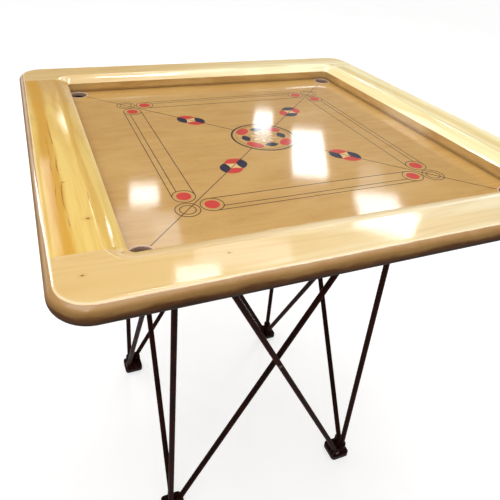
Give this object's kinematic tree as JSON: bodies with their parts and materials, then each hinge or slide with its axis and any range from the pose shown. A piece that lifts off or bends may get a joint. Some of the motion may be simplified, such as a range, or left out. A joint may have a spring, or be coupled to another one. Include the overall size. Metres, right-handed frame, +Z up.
{
  "type": "carrom board on folding stand",
  "caption": "Square wooden carrom board with rounded rails and corner pockets, resting on a folding scissor-braced tube stand.",
  "frame": {"origin": "on the floor under the centre of the board", "axes": "+Z up, +X to the right along the front rail, +Y from the front rail to the back rail"},
  "size_m": [0.96, 0.96, 0.879],
  "materials": {
    "rail_wood": "gloss",
    "play_wood": "gloss",
    "pocket_ring": "satin",
    "bright_steel": "satin",
    "rubber": "matte",
    "stand_paint": "satin"
  },
  "bodies": {
    "foot_fl": {"foot_bracket_fl": "stand_paint", "foot_pad_fl": "rubber", "foot_pins_fl": "bright_steel", "leg_tube_fl": "stand_paint"},
    "foot_fr": {"foot_bracket_fr": "stand_paint", "foot_pad_fr": "rubber", "foot_pins_fr": "bright_steel", "leg_tube_fr": "stand_paint"},
    "foot_bl": {"foot_bracket_bl": "stand_paint", "foot_pad_bl": "rubber", "foot_pins_bl": "bright_steel", "leg_tube_bl": "stand_paint"},
    "foot_br": {"foot_bracket_br": "stand_paint", "foot_pad_br": "rubber", "foot_pins_br": "bright_steel", "leg_tube_br": "stand_paint"},
    "top_fl": {"top_bracket_fl": "stand_paint", "top_pad_fl": "rubber", "top_pins_fl": "bright_steel", "slide_rod_fl": "bright_steel"},
    "top_fr": {"top_bracket_fr": "stand_paint", "top_pad_fr": "rubber", "top_pins_fr": "bright_steel", "slide_rod_fr": "bright_steel"},
    "top_bl": {"top_bracket_bl": "stand_paint", "top_pad_bl": "rubber", "top_pins_bl": "bright_steel", "slide_rod_bl": "bright_steel"},
    "top_br": {"top_bracket_br": "stand_paint", "top_pad_br": "rubber", "top_pins_br": "bright_steel", "slide_rod_br": "bright_steel"},
    "front_brace_a": {"brace_front_a": "stand_paint", "rivet_front": "bright_steel"},
    "front_brace_b": {"brace_front_b": "stand_paint"},
    "right_brace_a": {"brace_right_a": "stand_paint", "rivet_right": "bright_steel"},
    "right_brace_b": {"brace_right_b": "stand_paint"},
    "back_brace_a": {"brace_back_a": "stand_paint", "rivet_back": "bright_steel"},
    "back_brace_b": {"brace_back_b": "stand_paint"},
    "left_brace_a": {"brace_left_a": "stand_paint", "rivet_left": "bright_steel"},
    "left_brace_b": {"brace_left_b": "stand_paint"},
    "board": {"playing_panel": "play_wood", "rail_front": "rail_wood", "rail_back": "rail_wood", "rail_left": "rail_wood", "rail_right": "rail_wood", "pocket_ring_fl": "pocket_ring", "pocket_ring_fr": "pocket_ring", "pocket_ring_bl": "pocket_ring", "pocket_ring_br": "pocket_ring", "pocket_cup_fl": "rubber", "pocket_cup_fr": "rubber", "pocket_cup_bl": "rubber", "pocket_cup_br": "rubber", "panel_screws": "bright_steel"}
  },
  "joints": [
    {"name": "stand_fold", "type": "hinge", "parent": "foot_fl", "child": "front_brace_a", "pos_m": [-0.245, -0.228, 0.024], "axis": [0, -1, 0], "range_deg": [0, 27]},
    {"name": "front_a_top", "type": "hinge", "parent": "front_brace_a", "child": "top_fr", "pos_m": [0.185, -0.228, 0.808], "axis": [0, 1, 0], "range_deg": [0, 27]},
    {"name": "left_a_foot", "type": "hinge", "parent": "foot_fl", "child": "left_brace_a", "pos_m": [-0.258, -0.215, 0.024], "axis": [1, 0, 0], "range_deg": [0, 27]},
    {"name": "left_a_top", "type": "hinge", "parent": "left_brace_a", "child": "top_bl", "pos_m": [-0.258, 0.215, 0.808], "axis": [-1, 0, 0], "range_deg": [0, 27]},
    {"name": "right_a_top", "type": "hinge", "parent": "top_fr", "child": "right_brace_a", "pos_m": [0.198, -0.215, 0.808], "axis": [-1, 0, 0], "range_deg": [0, 27]},
    {"name": "right_a_foot", "type": "hinge", "parent": "right_brace_a", "child": "foot_br", "pos_m": [0.198, 0.215, 0.024], "axis": [1, 0, 0], "range_deg": [0, 27]},
    {"name": "back_a_top", "type": "hinge", "parent": "top_bl", "child": "back_brace_a", "pos_m": [-0.245, 0.228, 0.808], "axis": [0, 1, 0], "range_deg": [0, 27]},
    {"name": "front_cross", "type": "hinge", "parent": "front_brace_a", "child": "front_brace_b", "pos_m": [-0.03, -0.235, 0.416], "axis": [0, 1, 0], "range_deg": [0, 54]},
    {"name": "left_cross", "type": "hinge", "parent": "left_brace_a", "child": "left_brace_b", "pos_m": [-0.265, 0, 0.416], "axis": [-1, 0, 0], "range_deg": [0, 54]},
    {"name": "right_cross", "type": "hinge", "parent": "right_brace_a", "child": "right_brace_b", "pos_m": [0.205, 0, 0.416], "axis": [1, 0, 0], "range_deg": [0, 54]},
    {"name": "back_cross", "type": "hinge", "parent": "back_brace_a", "child": "back_brace_b", "pos_m": [-0.03, 0.235, 0.416], "axis": [0, -1, 0], "range_deg": [0, 54]},
    {"name": "front_b_top", "type": "hinge", "parent": "front_brace_b", "child": "top_fl", "pos_m": [-0.245, -0.242, 0.808], "axis": [0, -1, 0], "range_deg": [0, 27]},
    {"name": "front_b_foot", "type": "hinge", "parent": "front_brace_b", "child": "foot_fr", "pos_m": [0.185, -0.242, 0.024], "axis": [0, -1, 0], "range_deg": [0, 27]},
    {"name": "left_b_foot", "type": "hinge", "parent": "left_brace_b", "child": "foot_bl", "pos_m": [-0.272, 0.215, 0.024], "axis": [1, 0, 0], "range_deg": [0, 27]},
    {"name": "right_b_top", "type": "hinge", "parent": "right_brace_b", "child": "top_br", "pos_m": [0.212, 0.215, 0.808], "axis": [-1, 0, 0], "range_deg": [0, 27]},
    {"name": "board_lift", "type": "slide", "parent": "top_fr", "child": "board", "axis": [0, 0, 1], "range_m": [0, 0.2]}
  ],
  "couplings": [
    {"joint": "front_a_top", "follows": "stand_fold", "ratio": 1},
    {"joint": "left_a_foot", "follows": "stand_fold", "ratio": 1},
    {"joint": "left_a_top", "follows": "stand_fold", "ratio": 1},
    {"joint": "right_a_top", "follows": "stand_fold", "ratio": 1},
    {"joint": "right_a_foot", "follows": "stand_fold", "ratio": 1},
    {"joint": "back_a_top", "follows": "stand_fold", "ratio": 1},
    {"joint": "front_cross", "follows": "stand_fold", "ratio": 2},
    {"joint": "left_cross", "follows": "stand_fold", "ratio": 2},
    {"joint": "right_cross", "follows": "stand_fold", "ratio": 2},
    {"joint": "back_cross", "follows": "stand_fold", "ratio": 2},
    {"joint": "front_b_top", "follows": "stand_fold", "ratio": 1},
    {"joint": "front_b_foot", "follows": "stand_fold", "ratio": 1},
    {"joint": "left_b_foot", "follows": "stand_fold", "ratio": 1},
    {"joint": "right_b_top", "follows": "stand_fold", "ratio": 1}
  ]
}
